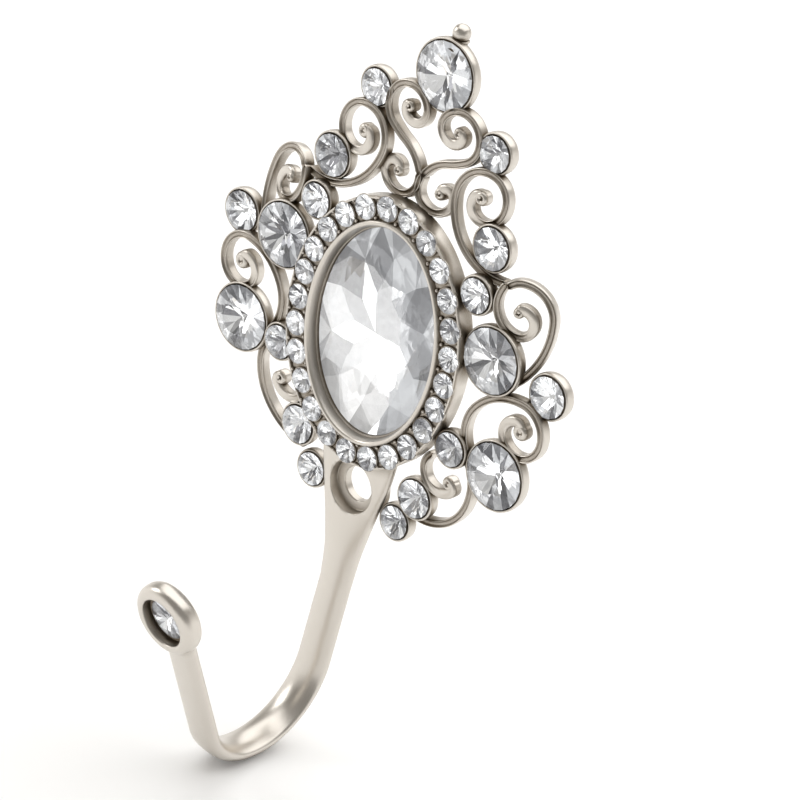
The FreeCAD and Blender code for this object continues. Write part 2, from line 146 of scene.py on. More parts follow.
def joined_mesh(name, shells, behind_wall=False):
    """One mesh in metres from closed skins in millimetres.

    What would reach behind the wall is flattened against it, at depth 0, unless
    the mesh is a cutter.
    """
    mesh = bpy.data.meshes.new(name)
    polygons = []
    start = 0
    for points, faces in shells:
        for group in faces:
            polygons.extend((group + start).tolist())
        start += len(points)
    corners = np.concatenate([points for points, faces in shells]) * MM
    if not behind_wall:
        corners[:, 1] = np.minimum(corners[:, 1], 0.0)
    mesh.from_pydata(corners.tolist(), [], polygons)
    return mesh


SHARP = 40.0               # degrees at which an edge starts to look sharp


def make_piece(name, shells, finish, replaced, smooth=SHARP):
    """One object from closed skins, riding on the body."""
    mesh = joined_mesh(name, shells)
    mesh.materials.append(finish)
    piece = bpy.data.objects.new(name, mesh)
    bpy.context.collection.objects.link(piece)
    if smooth:
        mesh.shade_smooth()
        mesh.set_sharp_from_angle(angle=math.radians(smooth))
    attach(piece, "root")
    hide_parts(*replaced)
    print(name, "faces:", len(mesh.polygons))
    return piece


# %% [markdown]
# Finishes are node trees. To keep their arithmetic readable, a small class wraps
# a socket and overloads the operators: an expression on values adds the Math
# nodes by itself. One method of a finish adds any other node.

# %% A value that varies over a surface, and a finish
class Value:
    """A socket whose number varies over a surface; arithmetic adds Math nodes."""

    def __init__(self, finish, socket):
        self.finish = finish
        self.socket = socket

    def reckon(self, operation, left, right):
        """Adds one Math node."""
        return self.finish.node("ShaderNodeMath", {"operation": operation}, {0: left, 1: right})

    def __add__(self, other):
        return self.reckon("ADD", self, other)

    __radd__ = __add__

    def __rsub__(self, other):
        return self.reckon("SUBTRACT", other, self)

    def __mul__(self, other):
        return self.reckon("MULTIPLY", self, other)


class Nodes:
    """A node tree that is filled node by node."""

    def __init__(self, tree):
        self.tree = tree
        self.tree.nodes.clear()

    def node(self, kind, settings=None, inputs=None, output=0):
        """Adds a node, sets it, feeds its sockets and gives one of its outputs."""
        made = self.tree.nodes.new(kind)
        for key, setting in (settings or {}).items():
            setattr(made, key, setting)
        for key, value in (inputs or {}).items():
            if isinstance(value, Value):
                self.tree.links.new(value.socket, made.inputs[key])
            else:
                made.inputs[key].default_value = value
        return Value(self, made.outputs[output])

    def blend(self, factor, low, high):
        """Mixes two colours by a value that runs from 0 to 1."""
        return self.node("ShaderNodeMix", {"data_type": "RGBA"},
                         {0: factor, 6: low, 7: high}, output=2)


class Finish(Nodes):
    """A material that ends in one Principled shader."""

    def __init__(self, name):
        self.material = bpy.data.materials.new(name)
        self.material.use_nodes = True
        super().__init__(self.material.node_tree)
        self.output = self.tree.nodes.new("ShaderNodeOutputMaterial")

    def surface(self, inputs):
        """Ends the material in one Principled shader with these inputs."""
        shader = self.node("ShaderNodeBsdfPrincipled", None, inputs)
        self.tree.links.new(shader.socket, self.output.inputs["Surface"])
        return self.material


# %% [markdown]
# The casting's plating is a satin champagne nickel. Three things make it read
# as plated metal and not as grey plastic: a fine grain from the cast skin, slow
# clouds of slightly different gloss, and a warm brown shade painted where metal
# meets metal. The painted shade comes from ambient occlusion, which is small in
# the open and large in a crevice.

# %% Satin metal
NICKEL = (0.68, 0.64, 0.585, 1.0)      # the plating in the open
CREVICE_SHADE = (0.15, 0.115, 0.075, 1.0)    # brown shade painted into a crevice
REACH = 2.0                            # how far round a point tells a crevice, in millimetres
CLOUDS = 420.0                         # waves of gloss, over a metre
GRAINS = 7000.0                        # waves of the cast grain, over a metre


def satin_metal(name, grain_strength):
    """Plated zinc: warm tint, brown shade painted into crevices, which are also duller, and a cast
    grain.
    """
    finish = Finish(name)
    place = finish.node("ShaderNodeTexCoord", output="Object")
    cloud = finish.node("ShaderNodeTexNoise", None,
                        {"Vector": place, "Scale": CLOUDS, "Detail": 3.0})
    grain = finish.node("ShaderNodeTexNoise", None,
                        {"Vector": place, "Scale": GRAINS, "Detail": 2.0})
    open_air = finish.node("ShaderNodeAmbientOcclusion", {"samples": 6},
                           {"Distance": REACH * MM}, output="AO")
    # painted shade: the tint turns dark brown where ambient occlusion finds a crevice
    crevice_shade = (1.0 - open_air) * 1.9
    tint = finish.blend(crevice_shade, NICKEL, CREVICE_SHADE)
    bump = finish.node("ShaderNodeBump", None,
                       {"Strength": grain_strength, "Distance": 0.03 * MM, "Height": grain})
    return finish.surface({"Base Color": tint, "Metallic": 1.0,
                           "Roughness": 0.25 + cloud * 0.12 + crevice_shade * 0.10,
                           "Normal": bump})


cast_metal = satin_metal("satin_nickel", 0.05)

# %% [markdown]
# A stone is clear glass over a silvered back. Light enters through the crown,
# bounces off the silvered facets and leaves again, so each facet shows another
# part of the room. Real refracting glass over a mirror gives that by itself. Two
# things are added to come near the photo's greys: the foil's facets differ in
# tone, and the foil gives off a little painted light.

# %% Clear glass and silvered back
def clear_glass(name):
    """Colourless glass whose tint wanders by a hair, as in pressed stones."""
    finish = Finish(name)
    place = finish.node("ShaderNodeTexCoord", output="Object")
    cloud = finish.node("ShaderNodeTexNoise", None, {"Vector": place, "Scale": 300.0})
    tint = finish.blend(cloud, (0.97, 0.98, 1.0, 1.0), (1.0, 0.995, 0.985, 1.0))
    return finish.surface({"Base Color": tint, "Roughness": 0.0, "IOR": 1.56,
                           "Transmission Weight": 1.0})


DULL_FOIL = (0.09, 0.09, 0.10, 1.0)
BRIGHT_FOIL = (0.96, 0.97, 0.98, 1.0)
PAINTED_FOIL_GLOW = 0.33           # light that the foil gives off, set from the photo


def silvered(name):
    """The foil on a stone's back: a mirror whose facets are not equally bright.

    Each facet's tone is a number from 0 to 1 in the mesh's attribute "tone", with
    faint clouds over it. The glow is painted light, a stand-in: without it the stones
    were too dark, and a brighter room didn't lift the dark area on the big oval.
    """
    finish = Finish(name)
    place = finish.node("ShaderNodeTexCoord", output="Object")
    cloud = finish.node("ShaderNodeTexNoise", None, {"Vector": place, "Scale": 1200.0})
    tone = finish.node("ShaderNodeAttribute", {"attribute_name": "tone"}, output="Fac")
    tint = finish.blend(tone * 0.9 + cloud * 0.15, DULL_FOIL, BRIGHT_FOIL)
    # painted light: the foil gives off light in its own tint, though it is no lamp
    return finish.surface({"Base Color": tint, "Metallic": 1.0,
                           "Roughness": 0.02 + cloud * 0.05,
                           "Emission Color": tint, "Emission Strength": PAINTED_FOIL_GLOW})


stone_glass = clear_glass("clear_glass")
stone_foil = silvered("silvered_back")

# %% [markdown]
# The cut of a stone is a brilliant: a flat table, star facets, kites down to the
# widest line, and kites and triangles behind it that meet in a point. The heights
# are chosen so that every kite is flat: a point on a kite lies on the straight
# line from the table to the widest line, measured along the kite's own axis.
# Every facet is turned outwards once it is in its place, because glass that
# faces inwards bends light the wrong way, and its stone looks blank and white.

# %% Cut stones
def ring(half_x, half_z, height, count, turn):
    """Points round an ellipse: x is half_x times the cosine, z half_z times the sine."""
    angle = 2 * np.pi * (np.arange(count) + turn) / count
    return np.stack([half_x * np.cos(angle), np.full(count, height),
                     half_z * np.sin(angle)], axis=1)


KITE_SHIFT = 0.04          # how far past half way a kite's side corners lie
INNER_SHARE = 0.28         # share of the outline where the back's kites are widest


def brilliant(radius, sides, table, crown, back, girdle):
    """Corners and facets of a brilliant, with x, height and z along its columns.

    The table is a share of the outline. Between the table corner at share t and
    the widest line at share 1, a kite's side corners at share m lie at
    crown * (1 - (m * cos(half a facet) - t) / (1 - t)), so that it is flat. Behind,
    the kite's side corners at share q lie at -back * (1 - q * cos(half a facet)).
    """
    half_facet = math.cos(math.pi / sides)
    middle = (table + 1.0) / 2 + KITE_SHIFT
    inner = radius * INNER_SHARE
    middle_height = crown * (1 - (middle * half_facet - table) / (1 - table))
    inner_height = -back * (1 - INNER_SHARE * half_facet)
    rings = [ring(radius * table, radius * table, crown, sides, 0.0),
             ring(radius * middle, radius * middle, middle_height, sides, 0.5),
             ring(radius, radius, 0.0, 2 * sides, 0.0),
             ring(radius, radius, -girdle, 2 * sides, 0.0),
             ring(inner, inner, inner_height - girdle, sides, 0.5),
             np.array([[0.0, -back - girdle, 0.0]])]
    starts = np.cumsum([0] + [len(part) for part in rings])
    k = np.arange(sides)
    step = (k + 1) % sides
    top, mid, front, rear, low = [starts[n] for n in range(5)]
    point = np.full(sides, starts[5])
    edge = np.arange(2 * sides)
    edge_step = (edge + 1) % (2 * sides)
    glass = [top + k[None, :],
             np.stack([top + k, mid + k, top + step], axis=1),
             np.stack([top + k, mid + (k - 1) % sides, front + 2 * k, mid + k], axis=1),
             np.stack([mid + k, front + 2 * k, front + 2 * k + 1], axis=1),
             np.stack([mid + k, front + 2 * k + 1, front + 2 * step], axis=1)]
    foil = [np.stack([front + edge, front + edge_step, rear + edge_step, rear + edge], axis=1),
            np.stack([low + k, rear + 2 * k, rear + 2 * k + 1], axis=1),
            np.stack([low + k, rear + 2 * k + 1, rear + 2 * step], axis=1),
            np.stack([point, low + k, rear + 2 * k, low + (k - 1) % sides], axis=1)]
    return np.vstack(rings), glass, foil


def face_out(points, group):
    """Turns every facet of a convex stone so that it looks away from the middle."""
    corners = points[group]
    normal = np.cross(corners[:, 1] - corners[:, 0], corners[:, 2] - corners[:, 0])
    outward = corners.mean(axis=1) - points.mean(axis=0)
    inward = np.einsum("ij,ij->i", normal, outward) < 0
    turned = group.copy()
    turned[inward] = group[inward][:, ::-1]
    return turned


def tilted(points, tilt, centre):
    """Local x, height, z to the part's frame, facing forward and down by the tilt."""
    angle = math.radians(tilt)
    forward = points[:, 1] * math.cos(angle) + points[:, 2] * math.sin(angle)
    up = points[:, 2] * math.cos(angle) - points[:, 1] * math.sin(angle)
    return np.stack([points[:, 0], -forward, up], axis=1) + centre


TONES = (0.0, 0.15, 0.4, 0.7, 0.95, 1.0, 1.0)      # how bright a facet's foil may be
OVAL_TONES = (0.3, 0.5, 0.7, 0.9, 1.0)             # and on the big oval, which is paler
luck = np.random.default_rng(7)


def place_stone(node, centre, cut, tilt=0.0, choice=TONES):
    """One cut stone in its seat, standing for its node."""
    points, glass, foil = cut
    placed = tilted(points, tilt, centre)
    glass = [face_out(placed, group) for group in glass]
    foil = [face_out(placed, group) for group in foil]
    name = node.replace("stone", "cut")
    piece = make_piece(name, [(placed, glass + foil)], stone_glass, [node], smooth=0.0)
    piece.data.materials.append(stone_foil)
    count = sum(len(group) for group in glass)
    slots = np.zeros(len(piece.data.polygons), dtype=np.int32)
    slots[count:] = 1
    piece.data.polygons.foreach_set("material_index", slots)
    tones = piece.data.attributes.new("tone", "FLOAT", "FACE")
    tones.data.foreach_set("value", luck.choice(choice, len(slots)).astype(np.float32))


GIRDLE = 0.06              # thickness of a round stone's widest line


def set_stone(node, centre, radius, sides, table, crown, back, tilt=0.0):
    """One round brilliant in its seat."""
    place_stone(node, centre, brilliant(radius, sides, table, crown, back, GIRDLE), tilt)


# %% [markdown]
# The round stones sit where the frame has them. The back of a real stone is a
# deep cone, which a bench view would hide in its cup, so it may be deeper here
# than the plain solid.

# %% Round stones and the oval
SMALL = 3.0                # a round stone below this radius has fewer facets
SIDES = (8, 10)            # kites round a small and a big stone
TABLE = (0.50, 0.46)       # share of the outline that the table takes, small and big
CROWN = 0.30               # height of a crown over its radius
BACK_ANGLE = 38.0          # slope of a stone's back facets, in degrees
DEEPEST = 1.9              # a stone's back is never deeper than this
PROUD = 0.32               # a cup stone's widest line stands this far over the plain solid's
SPREAD = 0.14              # and is this much wider
TIP_TILT = 17.0            # the hook's cup faces down by this many degrees
PAVE_PROUD = 0.12          # the same two values for the small stones of the ring
PAVE_SPREAD = 0.2
PAVE_CROWN = 0.5           # height of a small stone's crown, and depth of its back
PAVE_BACK = 1.0
OVAL_EDGE = 0.55           # height of the oval stone's straight edge
OVAL_CROWN = 2.15          # height of its crown over that edge
OVAL_SHARES = (0.36, 0.56, 0.80)    # its table and its two rows of corners
OVAL_RIM = 0.1             # height of its foiled rim, and depth of its back
OVAL_BACK = 0.85
BACK_ROWS = ((0.7, 0.5), (0.36, 0.85))     # shares of outline and depth for its back's rows

cup_stones = sorted(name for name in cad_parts
                    if name.startswith("stone_") and "pave" not in name
                    and name not in ("stone_oval", "stone_tip"))
pave_stones = sorted(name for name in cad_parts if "pave" in name)
back_slope = math.tan(math.radians(BACK_ANGLE))

for node in cup_stones:
    x, z, depth, radius = stone_place(node)
    size = 0 if radius < SMALL else 1
    back = min(back_slope * radius, DEEPEST)
    radius += SPREAD
    set_stone(node, (x, -depth - PROUD, z), radius, SIDES[size], TABLE[size],
              CROWN * radius, back)

for node in pave_stones:
    x, z, depth, radius = stone_place(node)
    radius += PAVE_SPREAD
    set_stone(node, (x, -depth - PAVE_PROUD, z), radius, SIDES[0], TABLE[1],
              PAVE_CROWN, PAVE_BACK)

oval_points = node_points("stone_oval")
oval_half = (oval_points.max(axis=0) - oval_points.min(axis=0)) / 2
oval_back = -oval_points[:, 1].max()


def kite_cut(half_x, half_z, sides, table, first, second, crown, edge, back):
    """An oval stone with two rows of flat kites between its table and its edge.

    With a as the cosine of half a facet, the corners at shares t, m, n and 1 of the
    outline have heights that keep both rows of kites flat: the height at m lies on
    the line from t to n at the share m * a, and the height at n on the line from m
    to the edge at the share n * a. Behind lies a shallow pavilion of wide facets.
    """
    a = math.cos(math.pi / sides)
    along = (first * a - table) / (second - table)
    down = (second * a - first) / (1 - first)
    first_height = crown * (1 - along) / (1 - along * (1 - down))
    second_height = first_height * (1 - down)
    (wide, shallow), (narrow, steep) = BACK_ROWS
    rings = [ring(half_x * table, half_z * table, crown, sides, 0.0),
             ring(half_x * first, half_z * first, first_height, sides, 0.5),
             ring(half_x * second, half_z * second, second_height, sides, 0.0),
             ring(half_x, half_z, 0.0, 4 * sides, 0.0),
             ring(half_x, half_z, -edge, 4 * sides, 0.0),
             ring(half_x * wide, half_z * wide, -edge - shallow * back, sides, 0.5),
             ring(half_x * narrow, half_z * narrow, -edge - steep * back, sides, 0.0),
             np.array([[0.0, -edge - back, 0.0]])]
    starts = np.cumsum([0] + [len(part) for part in rings])
    top, one, two, front, rear, low, deep = [starts[n] for n in range(7)]
    point = np.full(sides, starts[7])
    k = np.arange(sides)
    step = (k + 1) % sides
    last = (k - 1) % sides
    rim = np.arange(4 * sides)
    rim_step = (rim + 1) % (4 * sides)
    glass = [top + k[None, :],
             np.stack([top + k, one + k, top + step], axis=1),
             np.stack([top + k, one + last, two + k, one + k], axis=1)]
    for near, far in ((0, 1), (1, 2)):
        glass.append(np.stack([two + k, front + 4 * k + near, front + 4 * k + far], axis=1))
        glass.append(np.stack([two + step, front + (4 * step - near) % (4 * sides),
                               front + (4 * step - far) % (4 * sides)], axis=1))
    glass.append(np.stack([one + k, two + k, front + 4 * k + 2, two + step], axis=1))
    foil = [np.stack([front + rim, front + rim_step, rear + rim_step, rear + rim], axis=1),
            np.stack([low + k, rear + 4 * k + 1, rear + 4 * k + 2, rear + 4 * k + 3], axis=1),
            np.stack([low + k, rear + 4 * k + 3, rear + 4 * step], axis=1),
            np.stack([low + k, rear + 4 * k, rear + 4 * k + 1], axis=1),
            np.stack([deep + k, low + last, rear + 4 * k, low + k], axis=1),
            np.stack([point, deep + k, low + k, deep + step], axis=1)]
    return np.vstack(rings), glass, foil


oval_middle = np.array([0.0, -(oval_back + OVAL_EDGE), RING_RISE])
oval_cut = kite_cut(oval_half[0], oval_half[2], SIDES[1], *OVAL_SHARES, OVAL_CROWN,
                    OVAL_RIM, OVAL_BACK)
place_stone("stone_oval", oval_middle, oval_cut, choice=OVAL_TONES)

print("oval stone's middle:", np.round(oval_middle, 2))

# %% [markdown]
# A cup is turned on a lathe: its outline from the axis behind, over the rim and
# down to the seat is carried round the axis. The rim is a soft ridge that falls
# towards the stone, which is what catches the thin bright line in the photo.

# %% Stone cups
RIM = 0.5                  # rim thickness of a stone cup
FIT = 0.03                 # clearance round a stone
SINK = (0.15, 0.2)         # widest line below the rim, small and big stones
WALL = 1.35                # straight length of a cup behind its rim
BOWL = (0.95, 1.3)         # length of the tapering bowl, small and big cups
ROUNDNESS = (48, 72)       # points round a small and a big cup


def lathe(outline, centre, count, tilt=0.0):
    """Carries an outline of radius and height round an axis that faces outwards.

    Row i is the circle of radius r(i) at height h(i); the first and the last
    point of the outline lie on the axis and become poles.
    """
    outline = np.asarray(outline, dtype=float)
    angle = 2 * np.pi * np.arange(count) / count
    radius = outline[1:-1, 0][:, None]
    height = np.repeat(outline[1:-1, 1][:, None], count, axis=1)
    rows = np.stack([radius * np.cos(angle), height, radius * np.sin(angle)], axis=-1)
    flat = tilted(rows.reshape(-1, 3), tilt, centre).reshape(rows.shape)
    ends = np.array([[0.0, outline[0, 1], 0.0], [0.0, outline[-1, 1], 0.0]])
    ends = tilted(ends, tilt, centre)
    return skin(flat, (ends[0], ends[1]))


def cup_outline(radius, sink, rim_depth, bowl, back):
    """Radius and height of a cup's outline; height 0 is the top of the rim."""
    outer = radius + FIT + RIM
    radius += SPREAD
    bowl = min(bowl, rim_depth - WALL)
    foot = -WALL - bowl
    inner = radius + FIT
    return [(0.0, foot), (0.60 * outer, foot), (0.66 * outer, foot + 0.06),
            (0.82 * outer, -WALL - 0.52 * bowl), (0.945 * outer, -WALL - 0.1 * bowl),
            (0.985 * outer, -0.8 * WALL), (outer, -0.5), (outer - 0.015, -0.25),
            (outer - 0.05, -0.08), (outer - 0.11, -0.012), (outer - 0.18, 0.0),
            (outer - 0.26, -0.04), (outer - 0.3, -0.22), (inner + 0.02, -0.3),
            (inner, -sink - 0.22), (inner - 0.05, -sink - GIRDLE - 0.06), (0.12, -sink - back - 0.12),
            (0.0, -sink - back - 0.12)]


cups = []
for node in cup_stones:
    x, z, depth, radius = stone_place(node)
    size = 0 if radius < SMALL else 1
    back = min(back_slope * radius, DEEPEST)
    rim_depth = depth + SINK[size]
    outline = cup_outline(radius, SINK[size], rim_depth, BOWL[size], back)
    cups.append(lathe(outline, (x, -rim_depth, z), ROUNDNESS[size]))

# %% [markdown]
# The scrolls are the feature that makes this casting: ribbons about a millimetre
# wide whose faces carry two fine ridges with a groove between. Each is a chain
# of tangent arcs in a plane of its own, because the casting bulges towards the
# viewer. A curve with a bevel object could draw them, but a profile carried
# along the path by hand keeps the ridges upright and lets the ribbon widen.

# %% Scroll ribbons
RIBBON_WIDTH = 1.05        # width of a ribbon's face
RIBBON_STEP = 0.16         # distance between its sections, and with a head at its end
HEAD_STEP = 0.13
SCROLLS = [
    # plane (middle x, height above the ring's centre, depth, slope x, slope z),
    # start and heading in the plane, arcs (radius, turn), button (x, z, radius)
    ("heart", (4, 27, 2.53, -0.024, -0.018), (-3.75, -6.1), 66.0,
     [(5.65, -45.0), (12.0, 13.5), (3.09, 206.0), (1.84, 149.8), (1.18, 60.0)],
     (-0.05, 1.15, 0.78)),
    ("petal", (3, 19, 2.95, -0.03, -0.12), (-2.62, 2.07), -118.2,
     [(2.3, 87.9), (3.01, 87.5), (1.34, 62.3), (1.18, 100.0)], (0.38, 1.04, 0.8)),
    ("curl", (11, 20, 3.13, -0.043, -0.097), (5.31, -5.58), 194.8,
     [(8.34, -94.1), (4.02, -112.1), (3.06, -98.0), (2.82, -85.1), (1.74, -100.0)],
     (-1.45, 2.45, 0.95)),
    ("wing_rise", (20, 11, 3.01, -0.374, -0.140), (-3.39, 3.26), 58.4,
     [(2.56, -48.9), (4.21, -89.5), (10.48, -42.0), (6.0, -25.0)], None),
    ("wing_coil", (18, 11, 3.75, -0.370, -0.109), (-1.41, 3.78), -110.3,
     [(30.0, 1.7), (3.83, 66.7), (3.34, 39.0), (1.69, 188.5)], (0.95, 0.87, 0.7)),
    ("flank", (21, -4, 3.88, -0.035, 0.014), (-4.38, -4.04), 126.5,
     [(5.45, -72.1), (8.02, -51.5), (3.61, -103.6), (3.25, -31.6), (2.86, -100.2),
      (1.95, -118.0)], (2.37, 2.17, 1.1)),
    ("foot_rise", (15, -15, 2.68, 0.054, 0.136), (1.64, 5.52), -52.2,
     [(5.7, -37.9), (8.85, -73.0), (6.0, -22.0)], None),
    ("foot_coil", (12, -14, 2.9, 0.0, 0.0), (-0.99, 2.48), -127.9,
     [(40.0, 1.1), (2.22, 59.1), (2.69, 118.0)], (2.3, -0.11, 0.95)),
]

# Half of the ribbon's section, from the middle of its groove to the middle of
# its back: share of the half width, and height above the ridge in millimetres.
GROOVE = [(0.0, -0.32), (0.22, -0.31), (0.42, -0.24), (0.56, -0.12), (0.66, -0.03),
          (0.76, 0.0), (0.87, -0.03), (0.95, -0.11), (1.0, -0.26), (1.0, -0.62),
          (0.985, -1.05), (0.95, -1.28), (0.84, -1.38), (0.6, -1.4), (0.0, -1.4)]
DOME = [0.06, 0.05, 0.02, -0.01, -0.04, -0.09, -0.17, -0.25, -0.38]   # its face near a head
FADE = (6.5, 2.0)          # the groove fades into the dome between these lengths from the end
SWELL = 0.36               # share by which the ribbon widens on the way to its head


def both_sides(half):
    """A full section from its right half: the same points, mirrored and reversed."""
    half = np.asarray(half, dtype=float)
    left = half[-2:0:-1] * (-1, 1)
    return np.vstack([half, left])


def arc_path(start, heading, arcs, step):
    """Points and headings along a chain of tangent arcs.

    On an arc of radius r the heading turns evenly, and the point is the arc's
    centre plus r in the direction from the centre, a quarter turn off the heading.
    """
    points = [np.array([start], dtype=float)]
    headings = [np.radians([heading])]
    point = np.array(start, dtype=float)
    angle = math.radians(heading)
    for radius, turn in arcs:
        turn = math.radians(turn)
        side = 1.0 if turn > 0 else -1.0
        count = max(2, int(math.ceil(radius * abs(turn) / step)))
        swept = angle + turn * np.arange(1, count + 1) / count
        out = side * radius * np.stack([np.sin(swept), -np.cos(swept)], axis=1)
        centre = point - side * radius * np.array([math.sin(angle), -math.cos(angle)])
        points.append(centre + out)
        headings.append(swept)
        point = points[-1][-1]
        angle = swept[-1]
    return np.vstack(points), np.concatenate(headings)


def plane_axes(slope_x, slope_z):
    """The plane's own right, up and outward directions, by the least turn from -Y."""
    front = Vector((-slope_x, -1.0, -slope_z))
    turn = Vector((0.0, -1.0, 0.0)).rotation_difference(front)
    right = turn @ Vector((1.0, 0.0, 0.0))
    up = turn @ Vector((0.0, 0.0, 1.0))
    return np.array(right), np.array(up), np.array(front.normalized())


def closing_arc(point, heading, target):
    """Radius and signed turn of the arc that leads on from a point to a target.

    With n as the target's distance to the left of the heading and f ahead of it,
    the radius is the squared distance over 2 n and the turn twice the angle of (f, n).
    """
    away = np.array(target) - point
    ahead = away @ (math.cos(heading), math.sin(heading))
    left = away @ (-math.sin(heading), math.cos(heading))
    return abs(away @ away / (2 * left)), math.degrees(2 * math.atan2(left, ahead))


def ribbon(plane, start, heading, arcs, spot):
    """A ribbon's section carried along its path, square to it all the way.

    A point of the section at share q across and height h sits at the path's
    point, plus q half widths along the path's left side, plus h outwards. Where
    the ribbon has a head, one more arc leads to it, and its grooved face turns
    into a wider domed one on the way. Both ends are rounded: within half a width
    of an end, the width falls by the circle's root of 1 - (1 - distance) squared.
    """
    middle_x, middle_z, depth, slope_x, slope_z = plane
    right, up, out = plane_axes(slope_x, slope_z)
    origin = np.array([middle_x, -depth, RING_RISE + middle_z])
    path, turned = arc_path(start, heading, arcs, RIBBON_STEP)
    section = both_sides(GROOVE)
    domed = both_sides([(share, height) for (share, groove), height in zip(GROOVE, DOME)]
                       + GROOVE[len(DOME):])
    if spot:
        arcs = arcs + [closing_arc(path[-1], turned[-1], spot[:2])]
        path, turned = arc_path(start, heading, arcs, HEAD_STEP)
    steps = np.linalg.norm(np.diff(path, axis=0), axis=1)
    gone = np.concatenate([[0.0], np.cumsum(steps)])
    share = np.clip((FADE[0] - (gone[-1] - gone)) / (FADE[0] - FADE[1]), 0.0, 1.0)
    fade = share * share * (3 - 2 * share) if spot else np.zeros(len(path))
    from_end = np.clip(np.minimum(gone, gone[-1] - gone) / (RIBBON_WIDTH / 2), 0.03, 1.0)
    width = RIBBON_WIDTH / 2 * np.sqrt(1 - (1 - from_end) ** 2) * (1 + SWELL * fade)
    along = path[:, :1] * right + path[:, 1:] * up + origin
    left = -np.sin(turned)[:, None] * right + np.cos(turned)[:, None] * up
    across = section[:, 0] * width[:, None]
    level = section[:, 1] * (1 - fade[:, None]) + domed[:, 1] * fade[:, None]
    rows = (along[:, None, :] + across[:, :, None] * left[:, None, :]
            + level[:, :, None] * out)
    ends = (rows[0].mean(axis=0), rows[-1].mean(axis=0))
    return skin(rows, ends)


def button(plane, spot):
    """The round head that a ribbon curls into: a ridge round a shallow dimple."""
    middle_x, middle_z, depth, slope_x, slope_z = plane
    right, up, out = plane_axes(slope_x, slope_z)
    radius = spot[2]
    centre = np.array([middle_x, -depth, RING_RISE + middle_z]) + spot[0] * right + spot[1] * up
    outline = np.array([(0.0, -1.4), (0.9, -1.4), (0.97, -1.3), (1.0, -1.1), (1.0, -0.5),
                        (0.97, -0.32), (0.89, -0.14), (0.77, 0.0), (0.63, 0.08),
                        (0.5, 0.1), (0.38, 0.04), (0.27, -0.08), (0.14, -0.18), (0.0, -0.21)])
    count = 32
    angle = 2 * np.pi * np.arange(count) / count
    circle = np.cos(angle)[:, None] * right + np.sin(angle)[:, None] * up
    rows = (centre + outline[1:-1, 0][:, None, None] * radius * circle[None, :, :]
            + outline[1:-1, 1][:, None, None] * out)
    return skin(rows, (centre + outline[0, 1] * out, centre + outline[-1, 1] * out))


scrolls = []
for name, plane, start, heading, arcs, spot in SCROLLS:
    parts = [ribbon(plane, start, heading, arcs, spot)]
    if spot:
        parts.append(button(plane, spot))
    for part in parts:
        scrolls.append(part)
        scrolls.append(mirror(part))
print("ribbon skins:", len(scrolls))

# %% [markdown]
# The ring is turned on an oval lathe: every row is an ellipse with its own two
# half axes and depth. From the middle of its back the outline goes round the
# outside, over the thin lip, across the bed of the small stones, up and over
# the bezel and down its sloping wall to the floor.

# %% Stone ring and bezel
RING = [
    # half width, half height, depth
    (0.0, 0.0, 2.6), (12.9, 16.75, 2.6), (13.4, 17.25, 2.66), (13.66, 17.51, 2.82),
    (13.75, 17.6, 3.1), (13.75, 17.6, 4.9), (13.74, 17.59, 5.25), (13.69, 17.54, 5.4),
    (13.58, 17.43, 5.45), (13.47, 17.32, 5.41), (13.4, 17.25, 5.28), (13.32, 17.17, 5.06),
    (13.1, 16.95, 4.98), (11.0, 15.2, 4.98), (10.66, 14.86, 5.06), (10.52, 14.72, 5.3),
    (10.46, 14.66, 5.5), (10.4, 14.6, 5.62), (10.28, 14.48, 5.69), (10.12, 14.32, 5.7),
    (9.98, 14.18, 5.64), (9.86, 14.06, 5.5), (9.66, 13.86, 4.75), (9.56, 13.76, 4.42),
    (9.46, 13.66, 4.4), (9.4, 13.6, 4.3), (9.34, 13.54, 4.12), (9.36, 13.56, 3.9),
    (9.6, 13.8, 3.86), (9.62, 13.82, 3.4), (9.2, 13.3, 2.9), (0.0, 0.0, 2.8),
]


def oval_lathe(outline, count):
    """Ellipses behind one another: x is the half width times the cosine, and so on."""
    outline = np.asarray(outline, dtype=float)
    angle = 2 * np.pi * np.arange(count) / count
    body = outline[1:-1]
    rows = np.stack([body[:, 0][:, None] * np.cos(angle),
                     np.repeat(-body[:, 2][:, None], count, axis=1),
                     RING_RISE + body[:, 1][:, None] * np.sin(angle)], axis=-1)
    poles = [np.array([0.0, -outline[n, 2], RING_RISE]) for n in (0, -1)]
    return skin(rows, (poles[0], poles[1]))


ring_shell = oval_lathe(RING, 160)

# %% [markdown]
# Each small stone of the ring has a seat drilled into the bed, a thin burr
# round it, and four grains of metal pushed up in the corners between it and its
# neighbours. The seats are cut with one boolean, because they are many and
# cross the bed at odd angles.

# %% Seats, burrs and grains of the small stones
def bead(centre, radius, rows=7, count=12):
    """A small ball: row i lies at the latitude that i gives, from pole to pole."""
    rise = np.linspace(-np.pi / 2, np.pi / 2, rows + 2)[1:-1]
    outline = [(0.0, -radius)]
    outline += list(zip(radius * np.cos(rise), radius * np.sin(rise)))
    outline.append((0.0, radius))
    return lathe(outline, centre, count)


def burr(x, depth, z, radius, thick):
    """A thin round wire about a stone: the circle of a circle."""
    around = 2 * np.pi * np.arange(30) / 30
    small = 2 * np.pi * np.arange(8) / 8
    reach = radius + thick * np.cos(small)[None, :]
    rows = np.stack([x + reach * np.cos(around)[:, None],
                     np.broadcast_to(-depth - thick * np.sin(small)[None, :], (30, 8)),
                     z + reach * np.sin(around)[:, None]], axis=-1)
    return skin(rows, closed=True)


GRAIN = 0.27               # radius of a grain
BURR = 0.07                # radius of the burr's wire
SEAT_TOP = 1.5             # how far a seat's cutter reaches over the bed

